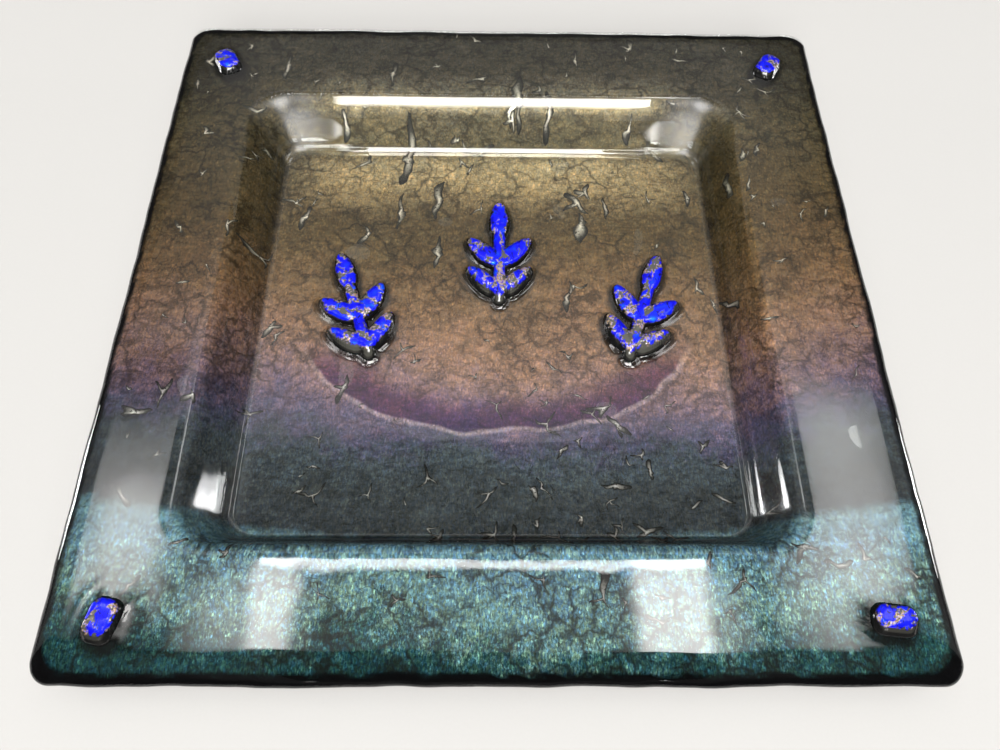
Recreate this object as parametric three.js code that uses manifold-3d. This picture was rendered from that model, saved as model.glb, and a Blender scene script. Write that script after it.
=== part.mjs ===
// A square challah tray of kiln-formed glass. A black base sheet and a clear cap sheet were fused together,
// with seven precut pieces of dichroic glass on top, and then slumped into a square mould with a level rim.
// Millimetres, +Z up. The origin is the middle of the underside, on the table. +Y is away from the viewer.
import * as THREE from "three";
import { mergeVertices } from "three/addons/utils/BufferGeometryUtils.js";
import Module from "manifold-3d";

const wasm = await Module();
wasm.setup();

// Driving dimensions of the slumped square
const SIDE = 305;
const CORNER_RADIUS = 8;
const BASE_THICKNESS = 3;
const CAP_THICKNESS = 3;
const RIM_WIDTH = 39;
const WALL_RUN = 19;
const WELL_DEPTH = 17;
const WELL_CORNER_RADIUS = 16;
const CORNER_STEPS = 9;
const WALL_STEPS = 9;

// The edge, rounded by surface tension: the clear cap has flowed past the base sheet's cut edge
const CAP_LIP = 2;
const BASE_EDGE_ROUND = 1;
const EDGE_ROLL = 10;
const EDGE_WIDEST = 2;
const EDGE_STEPS = 5;
const FOOT_CURL = 1.6;

// The three ears of wheat on the floor of the well
const EAR_HEIGHT = 3.6;
const EAR_BACK = 27;
const EAR_DROP = 28;
const EAR_MARGIN = 17;
const EAR_FAN = THREE.MathUtils.degToRad(18);
const STEM_LENGTH = 40;
const STEM_WIDTH = 6.5;
const GRAIN_LENGTH = 20.5;
const GRAIN_WIDTH = 9.5;
const GRAIN_TAPER = 0.2;
const GRAIN_TILT = THREE.MathUtils.degToRad(45);
const GRAIN_PAIRS = 2;
const GRAIN_GAP = 1.2;
const GRAIN_OVERLAP = 5;
const GRAIN_STEPS = 20;

// The four chips on the rim's corners
const CHIP_HEIGHT = 3.4;
const CHIP_MARGIN = 4.5;
const CHIP_WIDTH = 11;
const CHIP_LENGTH = 15.5;
const CHIP_ROUND = 4;

// How the edge of a dichroic piece is rounded over
const PIECE_ROUND = 2.6;
const PIECE_ROUND_STEPS = 3;
const PIECE_CORNER_STEPS = 4;

// A rounding stays a little short of half of what it rounds, so that no two points meet
const LESS_THAN_HALF = 0.47;

const blackGlass = new THREE.MeshStandardMaterial({ color: 0x0b0c0e, roughness: 0.12 });
const clearGlass = new THREE.MeshStandardMaterial({ color: 0x8f9a98, roughness: 0.03 });
clearGlass.transparent = true;
clearGlass.opacity = 0.3;
const dichroicGlass = new THREE.MeshStandardMaterial({ color: 0x1226e6, roughness: 0.15, metalness: 0.6 });

const tray = new THREE.Group();
tray.name = "challah_tray";

function addPiece(name, geometry, material) {
  const mesh = new THREE.Mesh(geometry, material);
  mesh.name = name;
  tray.add(mesh);
  return mesh;
}

// Outlines and lofts

// Anticlockwise points round a rectangle with rounded corners, centred on the origin
function roundedRectangle(width, length, roundest, steps) {
  const radius = Math.min(roundest, LESS_THAN_HALF * width, LESS_THAN_HALF * length);
  const points = [];
  for (let corner = 0; corner < 4; corner++) {
    const middle = ((corner + 0.5) * Math.PI) / 2;
    const centreX = (width / 2 - radius) * Math.sign(Math.cos(middle));
    const centreY = (length / 2 - radius) * Math.sign(Math.sin(middle));
    for (let step = 0; step <= steps; step++) {
      const angle = ((corner + step / steps) * Math.PI) / 2;
      points.push(new THREE.Vector2(centreX + radius * Math.cos(angle), centreY + radius * Math.sin(angle)));
    }
  }
  return points;
}

function middleOf(loop) {
  const sum = loop.reduce((total, point) => total.add(point), new THREE.Vector3());
  return sum.divideScalar(loop.length);
}

// Two bodies that share loops share their triangles too, because this decides which way each quad is split:
// from the higher loop, or from the inner one where both are level.
function splitsFrom(a, b) {
  return a[0].z === b[0].z ? a[0].x < b[0].x : a[0].z > b[0].z;
}

// A closed body through loops that run from the middle outwards on top, and back to the middle underneath
function loft(loops) {
  const corners = [];
  const around = loops[0].length;
  const top = middleOf(loops[0]);
  const bottom = middleOf(loops.at(-1));
  for (let i = 0; i < around; i++) {
    const next = (i + 1) % around;
    corners.push(top, loops[0][i], loops[0][next]);
    for (let r = 0; r + 1 < loops.length; r++) {
      const [a, b] = [loops[r], loops[r + 1]];
      if (splitsFrom(a, b)) corners.push(a[i], b[i], b[next], a[i], b[next], a[next]);
      else corners.push(a[i], b[i], a[next], b[i], b[next], a[next]);
    }
    corners.push(bottom, loops.at(-1)[next], loops.at(-1)[i]);
  }
  return new THREE.BufferGeometry().setFromPoints(corners);
}

// The slumped square

// One loop of the square, this far in from the outer edge. Its corners grow rounder towards the wall.
function squareLoop(inset, height) {
  const share = Math.min(inset / RIM_WIDTH, 1);
  const radius = THREE.MathUtils.lerp(CORNER_RADIUS, WELL_CORNER_RADIUS, share);
  const side = SIDE - 2 * inset;
  return roundedRectangle(side, side, radius, CORNER_STEPS).map(({ x, y }) => new THREE.Vector3(x, y, height));
}

// A sheet's face from the edge of the floor, up the wall's S curve, to its outermost loop on the rim.
// Its level stands above the underside of the base sheet.
function slumpedFace(level, outermost) {
  const loops = [];
  for (let step = 0; step <= WALL_STEPS; step++) {
    const share = step / WALL_STEPS;
    const climb = (WELL_DEPTH * (1 - Math.cos(Math.PI * share))) / 2;
    loops.push(squareLoop(RIM_WIDTH + WALL_RUN * (1 - share), climb + level));
  }
  loops.push(squareLoop(outermost, WELL_DEPTH + level));
  return loops;
}

const FLOOR_TOP = BASE_THICKNESS + CAP_THICKNESS;
const RIM_TOP = WELL_DEPTH + FLOOR_TOP;
const baseRound = Math.min(BASE_EDGE_ROUND, LESS_THAN_HALF * BASE_THICKNESS);
const BASE_FLAT_EDGE = CAP_LIP + baseRound;

const underside = slumpedFace(0, BASE_FLAT_EDGE);
const fusedFace = [
  ...slumpedFace(BASE_THICKNESS, BASE_FLAT_EDGE),
  squareLoop(CAP_LIP, WELL_DEPTH + BASE_THICKNESS - baseRound),
  squareLoop(CAP_LIP, WELL_DEPTH + baseRound),
];

// The cap rolls over as a quarter of an ellipse, and curls in again where its edge stood on the kiln shelf
function rolledEdge() {
  const widest = WELL_DEPTH + EDGE_WIDEST;
  const loops = [];
  for (let step = 1; step <= EDGE_STEPS; step++) {
    const angle = (step / EDGE_STEPS) * (Math.PI / 2);
    loops.push(squareLoop(EDGE_ROLL * (1 - Math.sin(angle)), widest + (RIM_TOP - widest) * Math.cos(angle)));
  }
  loops.push(squareLoop(FOOT_CURL / 3, WELL_DEPTH + EDGE_WIDEST / 3));
  loops.push(squareLoop(FOOT_CURL, WELL_DEPTH));
  return loops;
}

// Base sheet: black glass, its top face iridised
addPiece("base_sheet", loft([...fusedFace, ...underside.toReversed()]), blackGlass);

// Cap sheet: clear glass, fused to the whole top face and the cut edge of the base sheet
const capTop = [...slumpedFace(FLOOR_TOP, EDGE_ROLL), ...rolledEdge()];
addPiece("clear_cap_sheet", loft([...capTop, underside.at(-1), ...fusedFace.toReversed()]), clearGlass);

// Dichroic pieces

// An outline as a low cushion, flat underneath and rounded over on top. It stands on z = 0.
function cushion(outline, height) {
  const box = new THREE.Box2().setFromPoints(outline);
  const middle = box.getCenter(new THREE.Vector2());
  const half = box.getSize(new THREE.Vector2()).divideScalar(2);
  const round = Math.min(PIECE_ROUND, 2 * LESS_THAN_HALF * Math.min(half.x, half.y, height));
  const loopAt = (pulledIn, z) =>
    outline.map(({ x, y }) => {
      const nearX = middle.x + (x - middle.x) * (1 - pulledIn / half.x);
      const nearY = middle.y + (y - middle.y) * (1 - pulledIn / half.y);
      return new THREE.Vector3(nearX, nearY, z);
    });
  const loops = [];
  for (let step = 0; step <= PIECE_ROUND_STEPS; step++) {
    const angle = (step / PIECE_ROUND_STEPS) * (Math.PI / 2);
    loops.push(loopAt(round * (1 - Math.sin(angle)), height - round * (1 - Math.cos(angle))));
  }
  loops.push(loopAt(0, 0));
  return loft(loops);
}

function solidOf(geometry) {
  const merged = mergeVertices(geometry);
  const vertProperties = merged.attributes.position.array;
  const triVerts = new Uint32Array(merged.index.array);
  return new wasm.Manifold(new wasm.Mesh({ numProp: 3, vertProperties, triVerts }));
}

function melted(geometries) {
  const mesh = geometries.map(solidOf).reduce((all, one) => all.add(one)).getMesh();
  const geometry = new THREE.BufferGeometry();
  geometry.setAttribute("position", new THREE.BufferAttribute(mesh.vertProperties, 3));
  geometry.setIndex(new THREE.BufferAttribute(mesh.triVerts, 1));
  return geometry;
}

// A grain lies along +Y with its foot at the origin, and is widest nearer its foot
function grain() {
  const outline = [];
  for (let step = 0; step < GRAIN_STEPS; step++) {
    const angle = (step / GRAIN_STEPS) * 2 * Math.PI;
    const across = (GRAIN_WIDTH / 2) * Math.sin(angle) * (1 + GRAIN_TAPER * Math.cos(angle));
    const along = (GRAIN_LENGTH / 2) * (1 - Math.cos(angle));
    outline.push(new THREE.Vector2(across, along));
  }
  return cushion(outline, EAR_HEIGHT);
}

// An ear of wheat stands along +Y, with the middle of its length at the origin
function earOfWheat() {
  const stem = roundedRectangle(STEM_WIDTH, STEM_LENGTH, STEM_WIDTH, PIECE_CORNER_STEPS);
  const topFoot = STEM_LENGTH - GRAIN_OVERLAP;
  const pitch = (GRAIN_WIDTH + GRAIN_GAP) / Math.sin(GRAIN_TILT);
  const pieces = [cushion(stem, EAR_HEIGHT).translate(0, STEM_LENGTH / 2, 0), grain().translate(0, topFoot, 0)];
  for (let pair = 1; pair <= GRAIN_PAIRS; pair++) {
    for (const side of [-1, 1]) {
      pieces.push(grain().rotateZ(-side * GRAIN_TILT).translate(0, topFoot - pair * pitch, 0));
    }
  }
  return melted(pieces).translate(0, -(topFoot + GRAIN_LENGTH) / 2, 0);
}

// The outer two ears fan out, each a margin short of where the wall starts to rise
const floorReach = SIDE / 2 - RIM_WIDTH - WALL_RUN;
const ears = [
  { name: "left_wheat_ear", side: -1 },
  { name: "middle_wheat_ear", side: 0 },
  { name: "right_wheat_ear", side: 1 },
];
for (const { name, side } of ears) {
  const geometry = earOfWheat().rotateZ(-side * EAR_FAN);
  geometry.computeBoundingBox();
  const reach = side < 0 ? -geometry.boundingBox.min.x : geometry.boundingBox.max.x;
  const mesh = addPiece(name, geometry, dichroicGlass);
  mesh.position.set(side * (floorReach - EAR_MARGIN - reach), EAR_BACK - Math.abs(side) * EAR_DROP, FLOOR_TOP);
}

// Each chip was dropped on its corner by hand, so each lies at its own angle in degrees and a little off its place
const chips = [
  { name: "back_left_chip", sideX: -1, sideY: 1, turn: 28, offX: 0, offY: -6 },
  { name: "back_right_chip", sideX: 1, sideY: 1, turn: -32, offX: -1, offY: -5.5 },
  { name: "front_left_chip", sideX: -1, sideY: -1, turn: -14, offX: 0, offY: -2.5 },
  { name: "front_right_chip", sideX: 1, sideY: -1, turn: 84, offX: 0.5, offY: -2 },
];
const chipOutline = roundedRectangle(CHIP_WIDTH, CHIP_LENGTH, CHIP_ROUND, PIECE_CORNER_STEPS);
const chipReach = SIDE / 2 - EDGE_ROLL - CHIP_MARGIN - CHIP_LENGTH / 2;
for (const { name, sideX, sideY, turn, offX, offY } of chips) {
  const mesh = addPiece(name, cushion(chipOutline, CHIP_HEIGHT), dichroicGlass);
  mesh.position.set(sideX * chipReach + offX, sideY * chipReach + offY, RIM_TOP);
  mesh.rotation.z = THREE.MathUtils.degToRad(turn);
}

export default tray;
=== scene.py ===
# %% [markdown]
# # A challah tray of fused and slumped glass
#
# The tray is two square sheets of glass that were melted into one and then sagged into a square mould.
# The lower sheet is black, with a metallic rainbow film on its upper face. The upper sheet is clear.
# Three ears of wheat and four chips, cut from black glass with a broken blue film, were melted on top.
#
# This lesson builds the tray in Blender in the order in which a glass maker lays it up: black sheet,
# ornaments, clear sheet, trapped air. Everything is in metres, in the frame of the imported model: +Z up,
# +Y away from the camera.

# %% Load the frame
import math
import random

import bpy
import numpy as np
from mathutils import Matrix, Vector, noise
from mathutils.bvhtree import BVHTree
from mathutils.kdtree import KDTree


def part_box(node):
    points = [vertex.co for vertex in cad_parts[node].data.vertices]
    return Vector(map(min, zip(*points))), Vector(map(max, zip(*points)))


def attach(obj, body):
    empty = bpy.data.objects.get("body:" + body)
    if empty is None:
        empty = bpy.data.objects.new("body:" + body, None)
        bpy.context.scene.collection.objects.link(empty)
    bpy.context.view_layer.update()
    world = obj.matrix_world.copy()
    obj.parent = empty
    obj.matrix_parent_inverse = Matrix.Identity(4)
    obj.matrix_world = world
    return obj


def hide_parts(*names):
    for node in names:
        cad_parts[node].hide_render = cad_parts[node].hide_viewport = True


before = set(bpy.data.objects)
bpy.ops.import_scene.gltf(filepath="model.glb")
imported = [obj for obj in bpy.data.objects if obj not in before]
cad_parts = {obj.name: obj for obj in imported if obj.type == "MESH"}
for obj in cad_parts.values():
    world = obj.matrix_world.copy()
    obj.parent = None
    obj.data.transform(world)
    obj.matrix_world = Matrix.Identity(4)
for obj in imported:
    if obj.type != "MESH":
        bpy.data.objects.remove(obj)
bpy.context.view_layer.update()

mm = 0.001
# Left alone, the vector noise would take its seed from the clock and differ each time.
noise.seed_set(7)

# %% [markdown]
# ## Sizes
#
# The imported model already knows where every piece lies, so most sizes are read from its boxes. Only
# what a box can't tell, such as how wide the rim is or how round a corner is, is written down here.

# %% Read the tray's sizes from the frame
_, base_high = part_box("base_sheet")
cap_low, cap_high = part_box("clear_cap_sheet")

side = cap_high.x - cap_low.x
base_thickness = cap_low.z
cap_thickness = cap_high.z - base_high.z
rim_top = cap_high.z
floor_top = base_thickness + cap_thickness
well_depth = rim_top - floor_top

rim_width = 39 * mm
wall_run = 19 * mm
corner_radius = 8 * mm
well_corner_radius, floor_corner_radius = 18 * mm, 9 * mm
edge_roll = 10 * mm
print(f"side {side / mm:.0f} mm, well {well_depth / mm:.0f} mm deep, its floor at {floor_top / mm:.0f} mm")

# %% [markdown]
# ## Camera
#
# The camera is held a hand's width in front of the tray's middle and looks down. Its place was worked
# out from the tray's four corners, so the square comes out with the right perspective.

# %% Place the camera
camera_place = Vector((-3.95, -170.5, 280.9)) * mm
yaw, pitch, roll = -0.0306715, 1.108077, 0.0333895
focal_pixels, frame_pixels, sensor_mm = 750.93, 1000, 36

forward = Vector((-math.sin(yaw) * math.cos(pitch), math.cos(yaw) * math.cos(pitch), -math.sin(pitch)))
level_right = Vector((math.cos(yaw), math.sin(yaw), 0))
level_up = level_right.cross(forward)
camera_right = math.cos(roll) * level_right + math.sin(roll) * level_up
camera_up = camera_right.cross(forward)

camera = bpy.data.objects.new("camera", bpy.data.cameras.new("camera"))
camera.data.sensor_width = sensor_mm
camera.data.lens = sensor_mm * focal_pixels / frame_pixels
camera.data.clip_start = 0.01
bpy.context.scene.collection.objects.link(camera)
for row in range(3):
    camera.matrix_world[row] = (camera_right[row], camera_up[row], -forward[row], camera_place[row])
bpy.context.scene.camera = camera
print(f"lens {camera.data.lens:.1f} mm")


# %% [markdown]
# ## Node helpers
#
# Every finish below is a node tree. A few small helpers keep them readable: one adds a node and fills
# its inputs, the others wrap the kinds of node that come up most.

# %% Write the node helpers
def fill_inputs(tree, node, inputs):
    """Gives each input a value or a link."""
    for socket, value in inputs.items():
        if isinstance(value, bpy.types.NodeSocket):
            tree.links.new(value, node.inputs[socket])
        else:
            node.inputs[socket].default_value = value


def add_node(tree, kind, inputs=None, **settings):
    """Adds a node, sets its options and fills its inputs."""
    made = tree.nodes.new("ShaderNode" + kind)
    for option, value in settings.items():
        setattr(made, option, value)
    fill_inputs(tree, made, inputs or {})
    return made


def maths(tree, operation, a, b=0.0, c=0.0, clamp=False):
    return add_node(tree, "Math", {0: a, 1: b, 2: c}, operation=operation, use_clamp=clamp).outputs[0]


def times(tree, a, b):
    return maths(tree, "MULTIPLY", a, b)


def object_place(tree):
    return add_node(tree, "TexCoord").outputs["Object"]


def stored(tree, name):
    """Reads what a vertex attribute says."""
    return add_node(tree, "Attribute", attribute_name=name).outputs["Fac"]


def scaled(tree, place, x=1.0, y=1.0):
    """A place whose noise is drawn out along the axis with the smaller number."""
    return add_node(tree, "Mapping", {"Vector": place, "Scale": (x, y, 1.0)}).outputs[0]


def remap(tree, value, low, high, out_low=0.0, out_high=1.0, smooth=True):
    """Takes low..high to out_low..out_high and stays there outside it."""
    numbers = {
        "Value": value, "From Min": low, "From Max": high, "To Min": out_low, "To Max": out_high,
    }
    style = "SMOOTHSTEP" if smooth else "LINEAR"
    return add_node(tree, "MapRange", numbers, interpolation_type=style).outputs["Result"]


def noise_at(tree, place, scale, detail=2.0, roughness=0.5, distortion=0.0, output="Fac"):
    numbers = {
        "Vector": place, "Scale": scale, "Detail": detail, "Roughness": roughness,
        "Distortion": distortion,
    }
    return add_node(tree, "TexNoise", numbers).outputs[output]


def colour_ramp(tree, factor, stops, interpolation="LINEAR"):
    """A colour ramp through (place, (r, g, b)) stops."""
    ramp = add_node(tree, "ValToRGB", {"Fac": factor})
    ramp.color_ramp.interpolation = interpolation
    elements = ramp.color_ramp.elements
    while len(elements) < len(stops):
        elements.new(0.5)
    for element, (place, colour) in zip(elements, stops):
        element.position = place
        element.color = (*colour, 1)
    return ramp.outputs["Color"]


def mix_colours(tree, share, a, b, blend="MIX"):
    """Blends two colours or links."""
    mix = add_node(tree, "Mix", {0: share}, data_type="RGBA", blend_type=blend)
    for socket, value in ((6, a), (7, b)):
        if isinstance(value, bpy.types.NodeSocket):
            tree.links.new(value, mix.inputs[socket])
        else:
            mix.inputs[socket].default_value = (*value, 1)
    return mix.outputs[2]


def new_finish(name):
    material = bpy.data.materials.new(name)
    material.use_nodes = True
    return material, material.node_tree, material.node_tree.nodes["Principled BSDF"]


def screen_colour(red, green, blue):
    """A colour as a picture shows it, from 0 to 255, as the linear light that Blender works in."""
    return tuple(((c / 255 + 0.055) / 1.055) ** 2.4 for c in (red, green, blue))


def grey(value):
    return (value, value, value)


# %% [markdown]
# ## The room
#
# Glass is seen by what it mirrors, so the room matters as much as the tray. It is painted in the world
# shader as soft-edged windows on an imaginary ceiling one metre up: a direction (x, y, z) meets that
# ceiling at x/z, y/z. Two bright panels and a thin bar hang ahead, a window stands at each side, and a
# dark screen overhead keeps the floor of the well free of glare, so that its film shows.

# %% Paint the room
world = bpy.data.worlds.new("pale_room")
bpy.context.scene.world = world
world.use_nodes = True
room = world.node_tree
direction = add_node(room, "SeparateXYZ", {0: add_node(room, "TexCoord").outputs["Generated"]})
rise = maths(room, "MAXIMUM", direction.outputs[2], 0.06)
across = maths(room, "DIVIDE", direction.outputs[0], rise)
ahead = maths(room, "DIVIDE", direction.outputs[1], rise)


def pane(x_range, y_range, soft, sideways=across, soft_ahead=None):
    """One where the ceiling place is inside the two ranges, fading to zero over the soft edge."""
    shares = []
    for value, (low, high), fade in ((sideways, x_range, soft), (ahead, y_range, soft_ahead or soft)):
        off_centre = maths(room, "ABSOLUTE", maths(room, "SUBTRACT", value, (low + high) / 2))
        half = (high - low) / 2
        shares.append(remap(room, off_centre, half - fade / 2, half + fade / 2, 1.0, 0.0))
    return times(room, *shares)


room_light = {"back_wall": 0.6, "ceiling": 1.25, "front": 0.14}
level = remap(room, ahead, 0.75, 0.45, room_light["back_wall"], room_light["ceiling"])
level = remap(room, ahead, 0.105, 0.08, level, room_light["front"])
side_dark = remap(room, maths(room, "ABSOLUTE", across), 0.42, 0.62, 1.0, 0.3)
far_dark = remap(room, ahead, 0.95, 1.6, 1.0, 0.25)
level = times(room, level, times(room, side_dark, far_dark))

shades = {
    "dark_screen": ((-0.345, 0.375), (0.225, 0.40), 0.06, 0.92),
    "left_recess": ((-0.60, -0.44), (0.37, 0.55), 0.06, 0.75),
    "between_left": ((-0.45, -0.33), (0.04, 0.24), 0.04, 0.85),
    "between_right": ((0.30, 0.365), (0.04, 0.24), 0.03, 0.85),
    "between_panels": ((-0.25, 0.20), (0.085, 0.222), 0.03, 0.45),
}
for x_range, y_range, soft, depth in shades.values():
    shade = maths(room, "MULTIPLY_ADD", pane(x_range, y_range, soft), -depth, 1.0)
    level = times(room, level, shade)

windows = {
    "left_window": ((-0.53, -0.435), (0.16, 0.33), 0.06, 5),
    "left_window_glow": ((-0.60, -0.42), (0.16, 0.42), 0.14, 2.2),
    "right_window": ((0.44, 0.57), (0.12, 0.46), 0.13, 5.0),
    "left_panel": ((-0.31, -0.25), (0.09, 0.226), 0.025, 8),
    "left_panel_glow": ((-0.38, -0.245), (0.09, 0.20), 0.08, 4),
    "right_panel": ((0.190, 0.285), (0.09, 0.226), 0.025, 10),
    "right_panel_glow": ((0.185, 0.33), (0.09, 0.20), 0.07, 3),
    "top_bar": ((-0.30, 0.285), (0.214, 0.228), 0.010, 13),
    "right_corner": ((0.40, 0.52), (0.10, 0.27), 0.08, 1.8),
}
for x_range, y_range, soft, radiance in windows.values():
    level = maths(room, "MULTIPLY_ADD", pane(x_range, y_range, soft), radiance, level)

# %% [markdown]
# A large lit frame hangs overhead and behind. The back wall of the well shows it as a glowing loop, and
# the lower end of each ornament as a white crescent. Its sides run straight back, so they are cut by
# the direction's x alone.

# %% Hang the lit frame
frame_radiance = 21.0
sideways = direction.outputs[0]
outer = pane((-0.191, 0.206), (-1.5, 0.03), 0.010, sideways, 0.10)
inner = pane((-0.180, 0.195), (-1.9, -0.45), 0.008, sideways, 0.20)
lit_frame = times(room, outer, maths(room, "SUBTRACT", 1.0, inner))
level = maths(room, "MULTIPLY_ADD", lit_frame, frame_radiance, level)

warm_white = (1.0, 0.985, 0.965, 1)
sky = add_node(room, "Mix", {0: 1.0, 6: warm_white, 7: level}, data_type="RGBA", blend_type="MULTIPLY")
fill_inputs(room, room.nodes["Background"], {"Color": sky.outputs[2], "Strength": 1.0})
bpy.context.scene.view_settings.view_transform = "Standard"


# %% [markdown]
# The walls of the well are steep enough to mirror what stands low round the table. So a small low
# window stands at each side, which the side walls show as a white patch. It is three ovals inside each
# other, and so its rim is soft. A lamp behind the camera only lifts the shadows on the table, and no
# glass mirrors it.

# %% Stand the low lamps
def aim_lamp(name, place, size, energy, shape="RECTANGLE"):
    lamp = bpy.data.lights.new(name, "AREA")
    lamp.shape = shape
    lamp.size, lamp.size_y = size
    lamp.energy = energy
    made = bpy.data.objects.new(name, lamp)
    bpy.context.scene.collection.objects.link(made)
    made.location = place
    made.rotation_euler = (Vector(place) - Vector((0, 0, rim_top))).to_track_quat("Z", "Y").to_euler()
    made.visible_camera = False
    return made


for grow, energy in ((1.0, 3.0), (1.4, 3.0), (1.8, 3.0)):
    aim_lamp("left_low_window", (-1.56, 0.32, 0.15), (0.18 * grow, 0.17 * grow), energy, "ELLIPSE")
    aim_lamp("right_low_window", (1.56, 0.29, 0.15), (0.18 * grow, 0.17 * grow), energy, "ELLIPSE")
fill = aim_lamp("fill", (0.0, -2.0, 1.6), (2.0, 2.0), 142)
fill.visible_glossy = False


# %% [markdown]
# Close above the lens hangs a dark card, as the camera's own shade. The rounded front edge of the tray
# mirrors the place right above it, and the card keeps that edge dark. It takes no light from the table.

# %% Lay the helper for meshes and hang the card
def new_object(name, points, faces, smooth=True):
    mesh = bpy.data.meshes.new(name)
    mesh.from_pydata(points, [], faces)
    mesh.polygons.foreach_set("use_smooth", [smooth] * len(mesh.polygons))
    made = bpy.data.objects.new(name, mesh)
    bpy.context.scene.collection.objects.link(made)
    return made


def store(made, name, numbers):
    """Writes a number for each vertex, for the finish to read."""
    made.data.attributes.new(name, "FLOAT", "POINT").data.foreach_set("value", numbers)


corners = ((-1, -1), (1, -1), (1, 1), (-1, 1))
card_half, card_middle, card_height = (0.158, 0.32), -0.438, 0.31
card_points = [(x * card_half[0], y * card_half[1] + card_middle, card_height) for x, y in corners]
card = new_object("dark_card", card_points, [(0, 1, 2, 3)])
card_paint, tree, shader = new_finish("card_black")
fill_inputs(tree, shader, {"Base Color": (*grey(0.02), 1), "Roughness": 0.9})
card.data.materials.append(card_paint)
card.visible_camera = card.visible_diffuse = card.visible_shadow = False

# %% [markdown]
# In the two back corners of the well the frame would smear out into a wide glare. A little grey card
# hangs low over each of them, out of the camera's sight, and only mirrored light meets it. Each card
# has a slanted side, and so the glowing loop gets slanted ends.

# %% Shade the well's back corners
grey_card, tree, shader = new_finish("card_grey")
glow = {"Emission Color": (*grey(1.0), 1), "Emission Strength": 0.5}
fill_inputs(tree, shader, {"Base Color": (*grey(0.02), 1), **glow})
back, slant_back, slant_front, front, grey_height = 0.109, 0.090, 0.079, 0.066, 0.05
for name, outer_side, inner_side, tip in (
    ("left_grey_card", -0.112, -0.084, -0.070), ("right_grey_card", 0.106, 0.077, 0.056),
):
    outline = [
        (outer_side, back), (inner_side, back), (inner_side, slant_back),
        (tip, slant_front), (tip, front), (outer_side, front),
    ]
    low_card = new_object(name, [(x, y, grey_height) for x, y in outline], [range(6)])
    low_card.data.materials.append(grey_card)
    low_card.visible_camera = low_card.visible_diffuse = low_card.visible_shadow = False

# %% [markdown]
# ## Table
#
# A plain pale sheet of paper. It is a little darker than white, so that the windows can be bright
# enough to show as white patches in the glass without burning the paper out.

# %% Lay the table
table_half, under_tray = 4.0, -0.05 * mm
table_points = [(x * table_half, y * table_half, under_tray) for x, y in corners]
table = new_object("table", table_points, [(0, 1, 2, 3)])
paper, tree, shader = new_finish("paper")
fibres = noise_at(tree, object_place(tree), 900.0)
dullness = remap(tree, fibres, 0.3, 0.7, 0.86, 0.94)
fill_inputs(tree, shader, {"Roughness": dullness, "Base Color": (0.305, 0.300, 0.291, 1)})
table.data.materials.append(paper)


# %% [markdown]
# ## The slumped square
#
# A slump mould is a set of ever smaller rounded squares: the cut edge, the level rim, the S-shaped wall
# and the floor. So both sheets are lofted through such loops. More loops lie where the glass bends,
# fewer where it is flat.
#
# Molten glass is never quite true. The edge wanders by half a millimetre, and the sheets slid a little
# to one side in the mould. So the well isn't exactly in the middle, and its front wall came out steeper
# than its back wall.

# %% Draw the loops
straight_steps, corner_steps = 92, 22
rim_slip, floor_slip = np.array((-4.0, -1.0)) * mm, np.array((-3.0, -7.5)) * mm
well_stretch = np.array((1.02, 0.97))
edge_wander = 0.6 * mm


def square_loop(inset):
    """Points round the square, this far in from its edge, anticlockwise.

    Inside the floor the loop only shrinks.
    """
    floor_inset = rim_width + wall_run
    down_wall = min(max((inset - rim_width) / wall_run, 0), 1)
    slipped = down_wall * down_wall * (3 - 2 * down_wall)
    shrink = 1.0
    if inset > floor_inset:
        shrink = (side / 2 - inset) / (side / 2 - floor_inset)
        inset = floor_inset
    share = min(inset / rim_width, 1)
    radius = corner_radius + (well_corner_radius - corner_radius) * share
    radius += (floor_corner_radius - well_corner_radius) * down_wall
    reach = side / 2 - inset - radius
    points = []
    for corner in range(4):
        start = corner * math.pi / 2
        middle = start + math.pi / 4
        centre = np.array((reach * np.sign(math.cos(middle)), reach * np.sign(math.sin(middle))))
        for angle in start + np.linspace(0, math.pi / 2, corner_steps, endpoint=False):
            points.append(centre + radius * np.array((math.cos(angle), math.sin(angle))))
        end = start + math.pi / 2
        outward = np.array((math.cos(end), math.sin(end)))
        along = np.array((-math.sin(end), math.cos(end)))
        for step in range(straight_steps):
            points.append(centre + radius * outward + along * 2 * reach * step / straight_steps)
    points = np.array(points) * shrink
    edge_share = max(0.0, 1 - inset / (edge_roll * 1.5))
    if edge_share:
        wander = []
        for x, y in points:
            slow, quick = Vector((x * 42, y * 42, 3.3)), Vector((x * 110, y * 110, 8))
            wander.append(noise.noise(slow) + 0.5 * noise.noise(quick))
        outward = points / np.abs(points).max(axis=1, keepdims=True)
        points = points + outward * (np.array(wander) * edge_wander * edge_share)[:, None]
    onto_rim = share * share * (3 - 2 * share)
    points = points * (1 + (well_stretch - 1) * onto_rim)
    return points + rim_slip * onto_rim + (floor_slip - rim_slip) * slipped


def mould_height(inset):
    """How high the mould holds the underside of the glass, this far in from the edge."""
    share = min(max((inset - rim_width) / wall_run, 0), 1)
    return well_depth * (1 + math.cos(math.pi * share ** 1.2)) / 2


def loft(name, stations):
    """A closed body through (inset, height) stations, from the middle out on top and back underneath."""
    points = [(*floor_slip, stations[0][1])]
    for inset, height in stations:
        points += [(x, y, height) for x, y in square_loop(inset)]
    points.append((*floor_slip, stations[-1][1]))
    around = 4 * (straight_steps + corner_steps)
    last = len(points) - 1
    faces = []
    for i in range(around):
        j = (i + 1) % around
        faces.append((0, 1 + i, 1 + j))
        for ring in range(len(stations) - 1):
            a, b = 1 + ring * around, 1 + (ring + 1) * around
            faces.append((a + i, b + i, b + j, a + j))
        a = 1 + (len(stations) - 1) * around
        faces.append((last, a + j, a + i))
    return new_object(name, points, faces)


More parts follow.
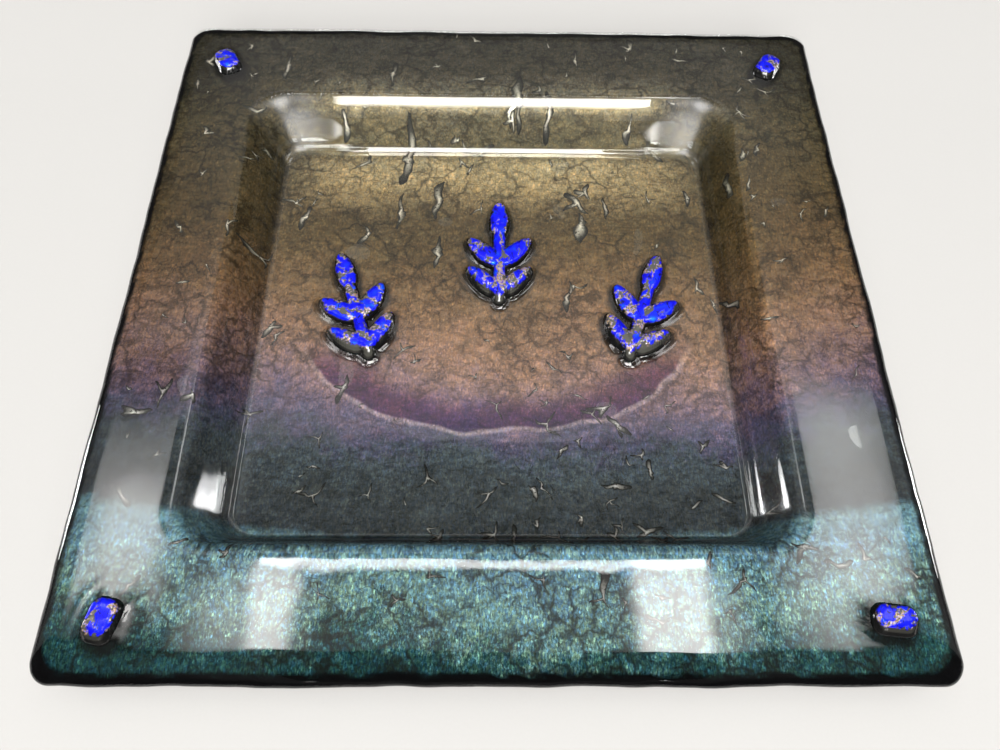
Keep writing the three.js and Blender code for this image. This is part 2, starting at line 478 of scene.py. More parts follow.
def steps(start, stop, pitch):
    count = max(1, round(abs(stop - start) / pitch))
    return [start + (stop - start) * i / count for i in range(count)]


def inner_stations(level, outermost, floor_pitch, wall_pitch, rim_pitch):
    """From near the middle of the floor, over the wall, to the outermost station on the rim."""
    floor_inset = rim_width + wall_run
    insets = steps(side / 2 - 2 * mm, floor_inset, floor_pitch) + steps(floor_inset, rim_width, wall_pitch)
    insets += steps(rim_width, outermost, rim_pitch) + [outermost]
    return [(inset, mould_height(inset) + level) for inset in insets]


def ripple(x, y, pitch, height, seed):
    return height * noise.noise(Vector((x / pitch, y / pitch, seed)))


# %% [markdown]
# ## Black sheet
#
# The black sheet carries the film, so its upper face is the most detailed surface under the clear
# glass. It reaches a hair into the clear sheet, because two sheets that are fused have no air between
# them: a ray that comes down through clear glass must meet the film before it leaves the glass.
#
# Where the edge was rounded over in the kiln the film has burnt off and the black glass shows. A vertex
# attribute holds how much film each point has, so the finish can read it. At the back the black sheet
# ends two millimetres short, and only clear glass is left beyond its ragged edge.

# %% Make the black sheet
contact = 0.03 * mm
rim_face = well_depth + base_thickness + contact
film_edge = 4.0 * mm
edge_inset, edge_height = 0.4 * mm, 18.0 * mm
base_roll = []
for t in np.linspace(0, math.pi / 2, 9):
    height = edge_height + (rim_face - edge_height) * math.cos(t)
    base_roll.append((edge_inset + 7.4 * mm * (1 - math.sin(t)), height))
base_stations = inner_stations(base_thickness + contact, 8 * mm, 1.3 * mm, 0.7 * mm, 1.6 * mm)
base_stations += base_roll
base_stations += [(0.6 * mm, 17.5 * mm), (1.2 * mm, 17.12 * mm), (2.4 * mm, well_depth)]
top_rings = len(base_stations) - 3
base_stations += inner_stations(0, 4 * mm, 8 * mm, 3 * mm, 9 * mm)[::-1]
black_sheet = loft("black_sheet", base_stations)

around = 4 * (straight_steps + corner_steps)
film_amount = np.zeros(len(black_sheet.data.vertices))
film_amount[0] = 1
for ring, (inset, height) in enumerate(base_stations[:top_rings]):
    for i in range(around):
        vertex = black_sheet.data.vertices[1 + ring * around + i]
        x, y, _ = vertex.co
        ragged = ripple(x, y, 6.25 * mm, 0.9 * mm, 1) + ripple(x, y, 2 * mm, 0.5 * mm, 2)
        film_amount[vertex.index] = min(max((inset - film_edge + ragged) / (0.8 * mm) + 0.5, 0), 1)
        vertex.co.z += ripple(x, y, 18 * mm, 0.05 * mm, 5) * min(1, inset / edge_roll)
for ring, (inset, height) in enumerate(base_stations):
    if height > well_depth - 1 * mm and inset < edge_roll:
        outermost = 1 - inset / edge_roll
        for i in range(around):
            vertex = black_sheet.data.vertices[1 + ring * around + i]
            x, y, _ = vertex.co
            pulled = min(max((y - 0.13) / 0.02, 0), 1)
            ragged = 0.9 * mm * noise.noise(Vector((x * 60, y * 60, 6)))
            vertex.co.y -= (2.2 * mm + ragged) * outermost * pulled
store(black_sheet, "film", film_amount)
print(f"black sheet: {len(black_sheet.data.polygons)} faces")

# %% [markdown]
# ### Rainbow film
#
# The film is a metal oxide a fraction of a wavelength thick. Where it is thicker its colour moves
# through the rainbow, so one long ramp along Y gives the bands: sea green in front, then slate, violet,
# rose brown and olive. A slow noise bends the bands, and a finer one frays their borders, except at the
# front wall of the well, which parts green from slate in a clean line. Round the foot of the back wall,
# and more faintly along its top, the film is painted about four times brighter and paler: a painted glow
# of the lit frame that the wall mirrors.

# %% Give the film its bands
film, tree, shader = new_finish("rainbow_film")
place = object_place(tree)
axes = add_node(tree, "SeparateXYZ", {0: place})
x, y = axes.outputs[0], axes.outputs[1]
drawn_out = scaled(tree, place, y=0.45)
hair = noise_at(tree, drawn_out, 1900.0, 3.0, 0.65)
clump = noise_at(tree, place, 170.0, 3.0, 0.6)
drift = noise_at(tree, place, 15.0, 2.0)

bow = times(tree, times(tree, x, x), 0.55)
along = maths(tree, "SUBTRACT", y, bow)
calm = 0.12
behind_wall = remap(tree, y, -0.094, -0.070, calm, 1.0)
before_wall = remap(tree, y, -0.118, -0.106, 1.0, calm)
off_wall = maths(tree, "MAXIMUM", behind_wall, before_wall)
for wobble, reach in ((drift, 0.045), (clump, 0.04), (hair, 0.03)):
    bend = times(tree, maths(tree, "SUBTRACT", wobble, 0.5), off_wall)
    along = maths(tree, "MULTIPLY_ADD", bend, reach, along)
band_place = maths(tree, "DIVIDE", maths(tree, "ADD", along, side / 2), side, clamp=True)
bands = [
    (-152, (38, 78, 82)), (-143, (64, 110, 114)), (-136, (122, 164, 164)), (-112, (112, 154, 172)),
    (-104, (112, 150, 160)), (-102, (84, 108, 116)), (-100, (60, 66, 70)), (-84, (62, 68, 71)),
    (-72, (72, 82, 88)), (-60, (84, 82, 106)), (-50, (112, 94, 112)), (-38, (142, 115, 114)),
    (-22, (156, 122, 100)), (0, (136, 108, 78)), (30, (108, 90, 60)), (84, (104, 94, 68)),
    (110, (82, 77, 62)), (152, (68, 66, 58)),
]
stops = [((y_mm * mm + side / 2) / side, screen_colour(*colour)) for y_mm, colour in bands]
tint = colour_ramp(tree, band_place, stops)

# Painted glow: round the foot and the top of the back wall the film colour is multiplied about fourfold,
# as painted light of the lit frame.
halo_across = remap(tree, maths(tree, "ABSOLUTE", maths(tree, "ADD", x, 0.003)), 0.074, 0.102, 1.0, 0.0)
below_wall = times(tree, remap(tree, y, 0.045, 0.074), remap(tree, y, 0.079, 0.088, 1.0, 0.0))
above_wall = times(tree, remap(tree, y, 0.099, 0.103), remap(tree, y, 0.107, 0.125, 0.5, 0.0))
painted_glow = times(tree, halo_across, maths(tree, "ADD", below_wall, above_wall))
tint = mix_colours(tree, 1.0, tint, mix_colours(tree, painted_glow, grey(1.0), (3.9, 3.9, 4.2)), "MULTIPLY")

# %% [markdown]
# Where the weight of the ears pressed the soft glass into a shallow pan, a pale line is painted on the
# film along the pan's front edge, a painted reflection of the pan's lip. The film's violet is deeper just
# inside that line.

# %% Draw the edge of the pan
oval_x = maths(tree, "POWER", maths(tree, "ABSOLUTE", maths(tree, "DIVIDE", x, 0.084)), 2.4)
from_middle = maths(tree, "DIVIDE", maths(tree, "SUBTRACT", y, 0.005), 0.062)
oval_y = maths(tree, "POWER", maths(tree, "ABSOLUTE", from_middle), 2.4)
oval = maths(tree, "POWER", maths(tree, "ADD", oval_x, oval_y), 0.42)
oval = maths(tree, "MULTIPLY_ADD", maths(tree, "SUBTRACT", noise_at(tree, place, 38.0), 0.5), 0.16, oval)
pan_front = remap(tree, y, -0.012, -0.034)
deep = times(tree, remap(tree, oval, 0.70, 0.92), remap(tree, oval, 0.985, 1.0, 1.0, 0.0))
deep = times(tree, deep, pan_front)
tint = mix_colours(tree, 1.0, tint, mix_colours(tree, deep, grey(1.0), (0.42, 0.24, 0.52)), "MULTIPLY")
# Painted reflection: a pale line along the pan's front edge, standing in for the gleam of its lip.
pale = remap(tree, maths(tree, "ABSOLUTE", maths(tree, "SUBTRACT", oval, 1.003)), 0.002, 0.026, 0.42, 0.0)
tint = mix_colours(tree, times(tree, pale, pan_front), tint, screen_colour(196, 176, 178))

# %% [markdown]
# Up close the film is crazed into hair-fine flecks. In front the flecks are painted at random from half
# to twice as bright, as painted glints for flecks that each lie a little differently, and tinted towards
# neighbouring colours, green, cream and blue. Their hair-fine streaks are painted lighter and darker too.
# Towards the back they blend into something like crumpled cloth, with thin creases. The creases are drawn
# as the contour lines of a stretched noise, which wander as real ones do.

# %% Break the film into flecks
in_front = remap(tree, y, -0.09, -0.115, 0.35, 0.85)
glints = add_node(tree, "TexVoronoi", {"Vector": drawn_out, "Scale": 1700.0, "Randomness": 1.0})
glint = add_node(tree, "SeparateColor", {0: glints.outputs["Color"]}).outputs
fleck_hue = colour_ramp(tree, glint[0], [
    (0.0, (0.7, 0.9, 1.3)), (0.3, (0.9, 1.0, 1.05)), (0.5, grey(1.0)), (0.75, (1.3, 1.1, 0.75)),
    (1.0, (1.9, 1.6, 1.1)),
])
# Painted glints: each fleck's brightness is painted from half to twice the film colour.
fleck_stops = [(0.0, grey(0.45)), (0.5, grey(0.95)), (0.85, grey(1.2)), (1.0, grey(2.0))]
fleck_light = colour_ramp(tree, glint[1], fleck_stops)
depth = colour_ramp(tree, hair, [(0.3, grey(0.35)), (0.5, grey(1.0)), (0.7, grey(1.7))])
for layer in (fleck_hue, fleck_light, depth):
    layer = mix_colours(tree, in_front, grey(1.0), layer)
    tint = mix_colours(tree, 1.0, tint, layer, "MULTIPLY")


def contour(scale, stretch, width, patch_scale):
    """Thin wandering lines where a noise passes one half, in patches."""
    pulled = scaled(tree, place, y=stretch)
    wander = noise_at(tree, pulled, scale, 3.0, 0.6, 1.2)
    line = remap(tree, maths(tree, "ABSOLUTE", maths(tree, "SUBTRACT", wander, 0.5)), 0.0, width, 1.0, 0.0)
    return times(tree, line, remap(tree, noise_at(tree, place, patch_scale), 0.45, 0.6))


creases = maths(tree, "MAXIMUM", contour(150.0, 0.45, 0.012, 60.0), contour(420.0, 0.6, 0.02, 110.0))
drawn_across = scaled(tree, place, x=0.5)
cloth = noise_at(tree, drawn_across, 420.0, 4.0, 0.7, 0.8)
cloth_light = colour_ramp(tree, cloth, [(0.3, grey(0.5)), (0.5, grey(1.0)), (0.7, grey(1.45))])
tint = mix_colours(tree, 1.0, tint, cloth_light, "MULTIPLY")
tint = mix_colours(tree, times(tree, creases, 0.7), tint, (0.012, 0.012, 0.011))

# %% [markdown]
# Round every fold of trapped air the film is cracked into a web of dark lines, and close to an ornament
# it is painted nearly black, as painted shade of the glass that climbs there. Two more vertex attributes,
# filled in later, say where. On the rim at the left and right the film is made darker.

# %% Crack the film and shade it
swirl = noise_at(tree, place, 130.0, 3.0, 0.6, output="Color")
shift = add_node(tree, "VectorMath", {0: swirl, "Scale": 0.011}, operation="SCALE").outputs[0]
warped = add_node(tree, "VectorMath", {0: place, 1: shift}, operation="ADD").outputs[0]
crumple = stored(tree, "crumple")
craze = None
feather = maths(tree, "MULTIPLY_ADD", hair, -0.16, 0.08)
for scale, width, everywhere in ((85.0, 0.12, 0.9), (190.0, 0.13, 0.65), (480.0, 0.14, 0.35)):
    cells = add_node(tree, "TexVoronoi", {"Vector": warped, "Scale": scale}, feature="DISTANCE_TO_EDGE")
    edge = maths(tree, "ADD", cells.outputs["Distance"], feather)
    line = remap(tree, edge, 0.0, width, 1.0, 0.0)
    patchy = remap(tree, noise_at(tree, place, scale * 0.5, 2.0), 0.42, 0.56)
    spread = maths(tree, "MULTIPLY_ADD", crumple, 1 - everywhere, everywhere)
    line = times(tree, line, times(tree, patchy, spread))
    craze = line if craze is None else maths(tree, "MAXIMUM", craze, line)
craze = times(tree, craze, remap(tree, y, -0.108, -0.095, 0.95, 0.4))
craze = times(tree, craze, remap(tree, y, -0.060, -0.030, 1.0, 1.9))
tint = mix_colours(tree, craze, tint, (0.014, 0.013, 0.010))

left_rim = remap(tree, x, -0.125, -0.105, 0.68, 1.0)
right_rim = remap(tree, x, 0.105, 0.125, 1.0, 0.87)
beside = times(tree, left_rim, right_rim)
tint = mix_colours(tree, beside, (0.0, 0.0, 0.0), tint)

# Painted shade: the film is painted nearly black close to the ornaments' feet.
shade = stored(tree, "shade")
tint = mix_colours(tree, times(tree, shade, 0.9), tint, (0.008, 0.008, 0.007))

# %% [markdown]
# Fused glass has no skin between its layers, so the black sheet itself mirrors nothing: only its film
# does.

# %% Leave the rounded edge black
bare = stored(tree, "film")
tint = mix_colours(tree, bare, (0.003, 0.003, 0.0035), tint)
metal = times(tree, bare, 0.85)
dullness = remap(tree, times(tree, bare, hair), 0.0, 0.6, 0.2, 0.46)
dents = maths(tree, "MAXIMUM", craze, creases)
relief = maths(tree, "SUBTRACT", times(tree, cloth, 0.8), dents)
bump = add_node(tree, "Bump", {"Height": relief, "Strength": 0.45, "Distance": 0.00012})
fill_inputs(tree, shader, {
    "Base Color": tint, "Metallic": metal, "Roughness": dullness, "Specular IOR Level": 0.0,
    "Normal": bump.outputs[0],
})
black_sheet.data.materials.append(film)


# %% [markdown]
# ## Ornaments
#
# Each ornament was cut from sheet glass and melted down until its edges rounded over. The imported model
# gives its outline and height. A copy of that mesh is remeshed fine enough to carry the broken film,
# then relaxed, as heat would relax it.
#
# The tray leaned a little in the kiln, so the end of each ornament that faces the camera flowed out
# into a slope. That slope mirrors the lit frame as a white crescent.
#
# The film lies only on the top of an ornament and tore when the glass spread. What is left of it are
# ragged patches, and they stand a hair proud. So they are real relief here: a warped noise is cut at a
# threshold to give the patches, and a second, finer one leaves crumbs of gold and rose film in some of
# the gaps. The flanks and the rest stay bare dark glass.

# %% Melt the ornaments
def melted_copy(node_name, voxel, relax):
    piece = bpy.data.objects.new(node_name + "_glass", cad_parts[node_name].data.copy())
    bpy.context.scene.collection.objects.link(piece)
    piece.data.materials.clear()
    remesh = piece.modifiers.new("remesh", "REMESH")
    remesh.mode, remesh.voxel_size = "VOXEL", voxel
    smooth = piece.modifiers.new("relax", "SMOOTH")
    smooth.factor, smooth.iterations = 0.5, relax
    seen = piece.evaluated_get(bpy.context.evaluated_depsgraph_get())
    fine = bpy.data.meshes.new_from_object(seen)
    piece.modifiers.clear()
    piece.data = fine
    fine.polygons.foreach_set("use_smooth", [True] * len(fine.polygons))
    return piece


def smooth_step(value, low, high):
    share = min(max((value - low) / (high - low), 0), 1)
    return share * share * (3 - 2 * share)


def sag_front(piece, foot, ramp):
    """Lets the edge that faces the camera flow out into a slope, as wide as the ramp."""
    lowest = {}
    for vertex in piece.data.vertices:
        column = round(vertex.co.x / (0.5 * mm))
        lowest[column] = min(lowest.get(column, 1.0), vertex.co.y)
    for vertex in piece.data.vertices:
        column = round(vertex.co.x / (0.5 * mm))
        near = [lowest[c] for c in range(column - 2, column + 3) if c in lowest]
        share = (vertex.co.y - sum(near) / len(near)) / ramp
        vertex.co.z = foot + (vertex.co.z - foot) * (0.42 + 0.58 * smooth_step(share, -0.15, 1.1))


def tear_film(piece, foot, top, seed):
    """Raises ragged patches of film and stores where they are as vertex attributes for the finish."""
    values = {"flake": [], "crumb": [], "hue": []}
    normals = [vertex.normal.copy() for vertex in piece.data.vertices]
    slant = Matrix.Rotation(seed * 0.9, 3, "Z")
    for vertex, normal in zip(piece.data.vertices, normals):
        at = vertex.co.copy()
        flat = slant @ Vector((at.x, at.y, 0)) / mm
        flat.z = seed * 11.7
        warped = flat + noise.noise_vector(flat * 0.35) * 1.5
        patch = noise.noise(Vector((warped.x * 0.17, warped.y * 0.36, flat.z)))
        patch += 0.5 * noise.noise(Vector((warped.x * 0.6, warped.y * 1.1, flat.z)))
        patch += 0.22 * noise.noise(warped * 2.2)
        fray = 0.10 * noise.noise(flat * 0.9)
        on_top = smooth_step((at.z - foot) / (top - foot) + fray, 0.74, 0.86)
        flake = smooth_step(patch, -0.10, 0.0) * on_top
        speckle = noise.noise(flat * 1.3) + 0.9 * noise.noise(flat * 0.28 + Vector((5, 5, 5)))
        crumb = on_top * (1 - flake) * smooth_step(speckle, 0.05, 0.2)
        hue = 0.5 + 0.5 * noise.noise(flat * (0.35 if flake > 0.5 else 1.9))
        for name, value in (("flake", flake), ("crumb", crumb), ("hue", hue)):
            values[name].append(value)
        raised = 0.10 * mm * flake + 0.09 * mm * crumb
        vertex.co = at + normal * (raised + 0.10 * mm * noise.noise(at * 150))
    for name, numbers in values.items():
        store(piece, name, numbers)


ears = ["left_wheat_ear", "middle_wheat_ear", "right_wheat_ear"]
chips = ["back_left_chip", "back_right_chip", "front_left_chip", "front_right_chip"]
ornaments = {}
for seed, name in enumerate(ears + chips):
    piece = melted_copy(name, 0.33 * mm if name in ears else 0.28 * mm, 9 if name in ears else 12)
    foot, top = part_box(name)
    sag_front(piece, foot.z, 6.5 * mm if name in ears else 4.5 * mm)
    tear_film(piece, foot.z, top.z, seed + 4)
    ornaments[name] = piece
    print(f"{name}: {len(piece.data.polygons)} faces")

# %% [markdown]
# ### Torn blue film
#
# The film is a strong mirror for blue light and almost nothing else, with darker streaks where it was
# drawn thin. The bare glass between is painted a smooth olive grey where it faces up and black on the
# flanks, a painted shade that follows the slope of the surface. A thin clear coat gives the gloss.

# %% Give the ornaments their film
torn, tree, shader = new_finish("torn_blue_film")
place = object_place(tree)
flake, crumb, hue = (stored(tree, name) for name in ("flake", "crumb", "hue"))
drawn_along = scaled(tree, place, y=0.5)
streaks = noise_at(tree, drawn_along, 650.0, 4.0, 0.65, 0.6)
blue = colour_ramp(tree, hue, [
    (0.25, (0.0, 0.0, 0.75)), (0.5, (0.0, 0.004, 1.0)), (0.68, (0.0, 0.02, 1.0)), (0.8, (0.0, 0.09, 1.0)),
])
shading = colour_ramp(tree, streaks, [(0.36, grey(0.12)), (0.43, grey(0.8)), (0.55, grey(1.0))])
blue = mix_colours(tree, 1.0, blue, shading, "MULTIPLY")
crumb_colours = [
    (0.0, (0.15, 0.10, 0.05)), (0.36, (0.32, 0.22, 0.12)), (0.46, (0.28, 0.17, 0.18)),
    (0.54, (0.40, 0.37, 0.34)), (0.60, (0.03, 0.04, 0.5)), (0.68, (0.18, 0.12, 0.07)),
]
crumb_tint = colour_ramp(tree, hue, crumb_colours, "CONSTANT")
# Painted shade: the bare glass darkens from olive grey to black as its surface turns away from straight
# up.
lift = add_node(tree, "SeparateXYZ", {0: add_node(tree, "NewGeometry").outputs["Normal"]}).outputs[2]
level_share = remap(tree, lift, 0.75, 0.97)
bare_tint_slope_shaded = colour_ramp(tree, level_share, [(0.0, grey(0.003)), (1.0, (0.045, 0.044, 0.037))])
tint = mix_colours(tree, crumb, bare_tint_slope_shaded, crumb_tint)
tint = mix_colours(tree, flake, tint, blue)
metal = maths(tree, "MAXIMUM", times(tree, flake, 0.8), times(tree, crumb, 0.6))
dullness = remap(tree, maths(tree, "MAXIMUM", flake, crumb), 0.0, 1.0, 0.06, 0.42)
bump = add_node(tree, "Bump", {"Height": streaks, "Strength": 0.25, "Distance": 0.0001})
fill_inputs(tree, shader, {
    "Base Color": tint, "Metallic": metal, "Roughness": dullness, "Coat Weight": 0.3,
    "Coat Roughness": 0.04, "Normal": bump.outputs[0],
})
for piece in ornaments.values():
    piece.data.materials.append(torn)


# %% [markdown]
# ## Clear sheet
#
# The clear sheet flowed over the edge of the black one and closed it in. Its upper face is what shines,
# so it has to be smooth but not flat: a slow ripple bends the mirrored windows, and the glass climbs a
# little where it wets the foot of each ornament. The weight of the ears pressed a shallow pan into the
# glass round them.

# %% Make the clear sheet
def edge_stations():
    widest = well_depth + 2 * mm
    turns = [math.pi / 2 * i / 14 for i in range(1, 15)]
    rolled = [(edge_roll * (1 - math.sin(t)), widest + (rim_top - widest) * math.cos(t)) for t in turns]
    curled = [
        (0.1 * mm, widest - 0.7 * mm), (0.4 * mm, well_depth + 0.6 * mm),
        (0.9 * mm, well_depth + 0.15 * mm), (1.6 * mm, well_depth + 0.02 * mm),
    ]
    return rolled + curled


cap_top = inner_stations(floor_top, edge_roll, 0.95 * mm, 0.5 * mm, 1.5 * mm)
cap_inside = [
    (3.0 * mm, well_depth + 0.05 * mm), (2.6 * mm, well_depth + 1 * mm),
    (4.6 * mm, well_depth + base_thickness - 1 * mm),
]
cap_under = inner_stations(base_thickness, 8 * mm, 8 * mm, 2.4 * mm, 9 * mm)[::-1]
clear_sheet = loft("clear_sheet", cap_top + edge_stations() + cap_inside + cap_under)

feet = KDTree(sum(len(piece.data.vertices) for piece in ornaments.values()))
count = 0
for name, piece in ornaments.items():
    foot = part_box(name)[0].z
    for vertex in piece.data.vertices:
        if vertex.co.z < foot + 0.9 * mm:
            feet.insert((vertex.co.x, vertex.co.y, 0), count)
            count += 1
feet.balance()


def swell(x, y):
    """How far the clear glass climbs where it wets an ornament."""
    _, _, distance = feet.find((x, y, 0))
    climb = 0.9 * mm if max(abs(x), abs(y)) < side / 2 - rim_width - wall_run else 0.4 * mm
    ring = 0.07 * mm * math.exp(-(((distance - 4.5 * mm) / (1.1 * mm)) ** 2))
    return climb * math.exp(-distance / (1.4 * mm)) + ring


def pool_step(x, y):
    """The shallow pan round the ears, level inside, where their weight pressed the soft glass down."""
    reach = (abs(x) / (84 * mm)) ** 2.5 + (abs(y - 5 * mm) / (66 * mm)) ** 2.5
    edge = (reach ** 0.4 - 1) * 66 * mm + 2.5 * mm * noise.noise(Vector((x * 45, y * 45, 4)))
    lip = 0.05 * mm * math.exp(-((edge / (1.4 * mm)) ** 2))
    return lip - 0.16 * mm * (1 - smooth_step(edge, -2.4 * mm, 2.4 * mm))


def stretched(inset, x, y):
    """How dull the clear glass is: a little on the wall, and most of all in the well's corners."""
    on_wall = smooth_step(inset, rim_width - 1 * mm, rim_width + 4 * mm)
    on_wall *= 1 - smooth_step(inset, rim_width + wall_run - 3 * mm, rim_width + wall_run + 3 * mm)
    in_corner = smooth_step(abs(x - floor_slip[0]), 76 * mm, 92 * mm)
    in_corner *= smooth_step(abs(y - floor_slip[1]), 74 * mm, 92 * mm)
    return on_wall * (0.14 + 0.4 * in_corner)


top_points = 1 + len(cap_top) * around
dull = np.zeros(len(clear_sheet.data.vertices))
for index in range(1, top_points):
    vertex = clear_sheet.data.vertices[index]
    dull[index] = stretched(cap_top[(index - 1) // around][0], vertex.co.x, vertex.co.y)
store(clear_sheet, "dull", dull)
for vertex in clear_sheet.data.vertices[:top_points]:
    x, y, _ = vertex.co
    ripples = ripple(x, y, 26 * mm, 0.06 * mm, 1) + ripple(x, y, 9 * mm, 0.012 * mm, 2)
    vertex.co.z += ripples + swell(x, y) + pool_step(x, y)
print(f"clear sheet: {len(clear_sheet.data.polygons)} faces")

# %% [markdown]
# ### Clear glass
#
# Real refraction does the work here: the film is seen through three millimetres of glass, and the
# rounded edge bends it as a lens does. The nodes add a trace of green and a very shallow unevenness.
# Where the glass stretched down the wall its skin is a little dull, so what it mirrors there has a soft
# rim.

# %% Give the clear sheet its finish
clear, tree, shader = new_finish("clear_glass")
place = object_place(tree)
green_trace = [(0.35, (0.955, 0.98, 0.965)), (0.65, (0.98, 0.99, 0.985))]
cast = colour_ramp(tree, noise_at(tree, place, 30.0), green_trace)
dullness = times(tree, stored(tree, "dull"), 0.36)
fine_ripple = noise_at(tree, place, 240.0, 2.0)
bump = add_node(tree, "Bump", {"Height": fine_ripple, "Strength": 0.03, "Distance": 0.0001})
fill_inputs(tree, shader, {
    "Base Color": cast, "Roughness": dullness, "IOR": 1.55, "Transmission Weight": 1.0,
    "Normal": bump.outputs[0],
})
clear_sheet.data.materials.append(clear)

# %% [markdown]
# ## Trapped air
#
# Where the film buckled between the sheets, air was trapped in little branching creases. Each shows a
# thin silver ridge with a dark rim. A crease is drawn as a star whose outline swings in and out along
# two to four unequal arms. Rings shrink from the outline to the middle and rise as they go, which
# leaves a ridge along every arm.
#
# Behind the ears the sheets stretched as they sagged, so the creases there are long and lie along the
# slope.

# %% Fold the creases
film_surface = BVHTree.FromObject(black_sheet, bpy.context.evaluated_depsgraph_get())
crease_rings = [0.0, 0.12, 0.3, 0.5, 0.72, 0.9]
spokes = 84


def on_film(x, y):
    hit, _, _, _ = film_surface.ray_cast(Vector((x, y, 0.1)), Vector((0, 0, -1)))
    return hit.z if hit else None


class CreaseSheet:
    """Collects many creases into one mesh, because they are all one layer of trapped air."""

    def __init__(self, name):
        self.name, self.points, self.faces, self.ridge = name, [], [], []

    def add(self, x, y, size, arms, rng, slender=0.16, web=0.12, height=0.25 * mm):
        bumps = [(angle, rng.uniform(0.4, 1.0), slender * rng.uniform(0.7, 1.4)) for angle in arms]
        seed = rng.uniform(0, 50)
        start = len(self.points)
        outline = []
        for i in range(spokes):
            angle = 2 * math.pi * i / spokes
            reach = web
            for arm, length, width in bumps:
                off = (angle - arm + math.pi) % (2 * math.pi) - math.pi
                reach += length / (1 + (off / width) ** 2) ** 1.4
            reach *= 1 + 0.35 * noise.noise(Vector((math.cos(angle) * 3, math.sin(angle) * 3, seed)))
            outline.append((angle, reach * size))
        for share in crease_rings + [1.0]:
            for angle, reach in outline if share < 1 else outline[:1]:
                radius = reach * (1 - share)
                px, py = x + radius * math.cos(angle), y + radius * math.sin(angle)
                bend = noise.noise_vector(Vector((px * 130, py * 130, seed))) * 2.6 * mm
                bend += noise.noise_vector(Vector((px * 360, py * 360, seed))) * 1.0 * mm
                px, py = px + bend.x * min(1, radius / (2 * mm)), py + bend.y * min(1, radius / (2 * mm))
                ground = on_film(px, py)
                if ground is None:
                    del self.points[start:], self.ridge[start:]
                    return
                lumps = 1 + 0.5 * noise.noise(Vector((px * 700, py * 700, seed)))
                rise = height * math.sqrt(share) * lumps
                self.points.append((px, py, ground + 0.02 * mm + rise))
                self.ridge.append(share)
        rings = len(crease_rings)
        for ring in range(rings - 1):
            a, b = start + ring * spokes, start + (ring + 1) * spokes
            for i in range(spokes):
                j = (i + 1) % spokes
                self.faces.append((a + i, a + j, b + j, b + i))
        a, tip = start + (rings - 1) * spokes, start + rings * spokes
        for i in range(spokes):
            self.faces.append((a + i, a + (i + 1) % spokes, tip))

    def finish(self):
        made = new_object(self.name, self.points, self.faces)
        store(made, "ridge", self.ridge)
        print(f"{self.name}: {len(self.faces)} faces")
        return made


# %% Place the creases
along_y = math.pi / 2
long_creases = [
    (-43, 83, 19), (-46, 50, 13), (-28, 58, 12), (-28, 28, 13), (9, 106, 15), (23, 101, 12), (37, 44, 11),
    (49, 55, 7), (29, 5, 7), (-51, 121, 8), (-102, 124, 8), (-143, 112, 7), (118, 74, 7), (104, 56, 7),
    (88, 60, 8), (-73, 96, 6), (62, 96, 6),
]
branching_creases = [
    (-1, -46, 5), (14, -30, 4), (19, -54, 8), (37, -50, 8), (-28, -77, 9), (-4, -83, 7), (16, -81, 6),
    (42, -86, 4), (-71, -84, 7), (-71, -61, 6), (-50, -84, 6), (-27, -97, 7), (-2, -99, 7),
    (22, -101, 7), (46, -96, 6),
    (66, -102, 6), (-99, -51, 7), (67, -46, 4), (-40, -21, 6), (70, 58, 6), (-8, 53, 5), (-94, 55, 7),
    (-105, 22, 7), (24, 48, 4), (111, 55, 6), (-121, 138, 6), (127, 111, 7), (113, 98, 6), (131, 38, 5),
    (15, -119, 7), (-24, -118, 6), (35, -125, 7), (54, -133, 7), (77, -129, 6), (84, -119, 6),
    (-61, -124, 5), (100, -92, 6),
]
ear_middle, ear_reach = (16 * mm, 27 * mm), (24 * mm, 34 * mm)


def under_an_ear(x, y):
    """Whether a place is under an ear or close to it."""
    for name in ears:
        low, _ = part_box(name)
        beside, ahead_of = x - low.x - ear_middle[0], y - low.y - ear_middle[1]
        if abs(beside) < ear_reach[0] and abs(ahead_of) < ear_reach[1]:
            return True
    return False


rng = random.Random(7)
air = {part: CreaseSheet("trapped_air_" + part) for part in ("front", "middle", "back")}
for x, y, reach in long_creases:
    lean = rng.uniform(-0.12, 0.12)
    arms = [along_y + lean, -along_y + lean + rng.uniform(-0.1, 0.1)]
    air["back"].add(x * mm, y * mm, reach * mm, arms, rng, slender=0.32, web=0.16, height=0.6 * mm)
for x, y, reach in branching_creases:
    turn = rng.uniform(0, 2 * math.pi)
    arms = [turn + 2.1 * k + rng.uniform(-0.6, 0.6) for k in range(rng.choice((2, 3, 3, 4)))]
    air["front" if y < -70 else "middle"].add(x * mm, y * mm, reach * mm, arms, rng)
for _ in range(160):
    x, y = rng.uniform(-143, 143), rng.uniform(-128, 146)
    if under_an_ear(x * mm, y * mm):
        continue
    upright = along_y + rng.gauss(0, 0.7) if y > 20 else rng.uniform(0, math.pi)
    arms = [upright, upright + math.pi + rng.gauss(0, 0.6)]
    third = upright + rng.uniform(0.9, 2.2)
    if rng.random() < 0.45:
        arms.append(third)
    size = rng.uniform(2.0, 3.8) if rng.random() < 0.6 else rng.uniform(3.8, 7.0)
    size *= 1.25 if y > 20 else 1.0
    air["back" if y > 20 else "middle"].add(x * mm, y * mm, size * mm, arms, rng, slender=0.3, web=0.16)
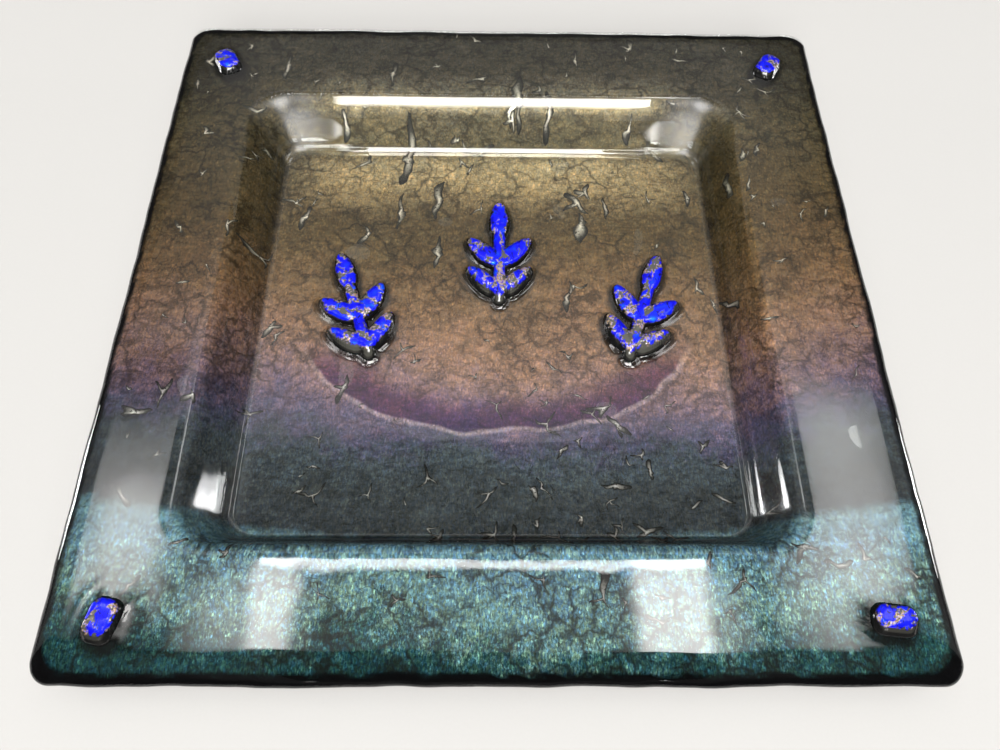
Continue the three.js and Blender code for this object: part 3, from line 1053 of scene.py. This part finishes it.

# %% [markdown]
# ### Silver of trapped air
#
# Light that meets an air bubble inside glass at a low angle is mirrored completely, so the bubble looks
# like silver, and black where it mirrors something dark. A polished metal whose rim is painted black
# gives both. The folds at the back face more of the room's light, so their silver is painted brighter
# there, as painted light.

# %% Give the trapped air its silver
silver, tree, shader = new_finish("silvered_air")
ridge = stored(tree, "ridge")
place = object_place(tree)
grain = noise_at(tree, place, 1300.0, 2.0)
edge = maths(tree, "MULTIPLY_ADD", maths(tree, "SUBTRACT", grain, 0.5), 0.22, ridge)
silver_stops = [
    (0.02, (0.008, 0.008, 0.007)), (0.3, (0.03, 0.03, 0.026)), (0.46, (0.14, 0.135, 0.12)),
    (0.7, (0.30, 0.29, 0.26)), (0.95, (0.58, 0.57, 0.53)),
]
tint = colour_ramp(tree, edge, silver_stops)
far_back = add_node(tree, "SeparateXYZ", {0: place}).outputs[1]
# Painted light: the silver of the folds at the back is painted up to about 1.6 times brighter.
painted_back_light = mix_colours(tree, remap(tree, far_back, -0.04, 0.03), grey(0.85), (1.6, 1.54, 1.36))
tint = mix_colours(tree, 1.0, tint, painted_back_light, "MULTIPLY")
metal = remap(tree, edge, 0.25, 0.5, 0.0, 0.9)
dullness = remap(tree, grain, 0.3, 0.7, 0.25, 0.45)
fill_inputs(tree, shader, {
    "Base Color": tint, "Metallic": metal, "Roughness": dullness, "Specular IOR Level": 0.1,
})
pieces_of_air = [sheet.finish() for sheet in air.values()]
for piece in pieces_of_air:
    piece.data.materials.append(silver)

# %% [markdown]
# ## What lies over the film
#
# Now that the ornaments and the creases are in place, each point of the film learns how near it is to
# them. The chips melted lower than the ears, and the painted shade round each chip leans towards the
# camera, a wide dark foot painted on the film on that side.

# %% Tell the film its neighbours
def gather(points):
    tree = KDTree(len(points))
    for index, (x, y) in enumerate(points):
        tree.insert((x, y, 0), index)
    tree.balance()
    return tree


fold_points = []
for sheet in air.values():
    fold_points += [(x, y) for (x, y, z), ridge in zip(sheet.points, sheet.ridge) if ridge > 0.4]
folds = gather(fold_points)
chip_points = [(v.co.x, v.co.y) for name in chips for v in ornaments[name].data.vertices]
chip_feet = gather(chip_points)
crumple, shade = [], []
for vertex in black_sheet.data.vertices:
    x, y, _ = vertex.co
    crumple.append(math.exp(-folds.find((x, y, 0))[2] / (2.6 * mm)))
    near_piece = math.exp(-((feet.find((x, y, 0))[2] / (1.7 * mm)) ** 2))
    lean = -1.2 * mm if x > 0 else 1.2 * mm
    near_chip = math.exp(-((chip_feet.find((x - lean, y + 1.6 * mm, 0))[2] / (1.8 * mm)) ** 2))
    shade.append(max(near_piece, near_chip))
store(black_sheet, "crumple", crumple)
store(black_sheet, "shade", shade)
print(f"{len(fold_points)} fold points marked on the film")

# %% Hand over
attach(black_sheet, "root")
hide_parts("base_sheet")
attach(clear_sheet, "root")
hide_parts("clear_cap_sheet")
for name, piece in ornaments.items():
    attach(piece, "root")
    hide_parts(name)
for piece in pieces_of_air:
    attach(piece, "root")
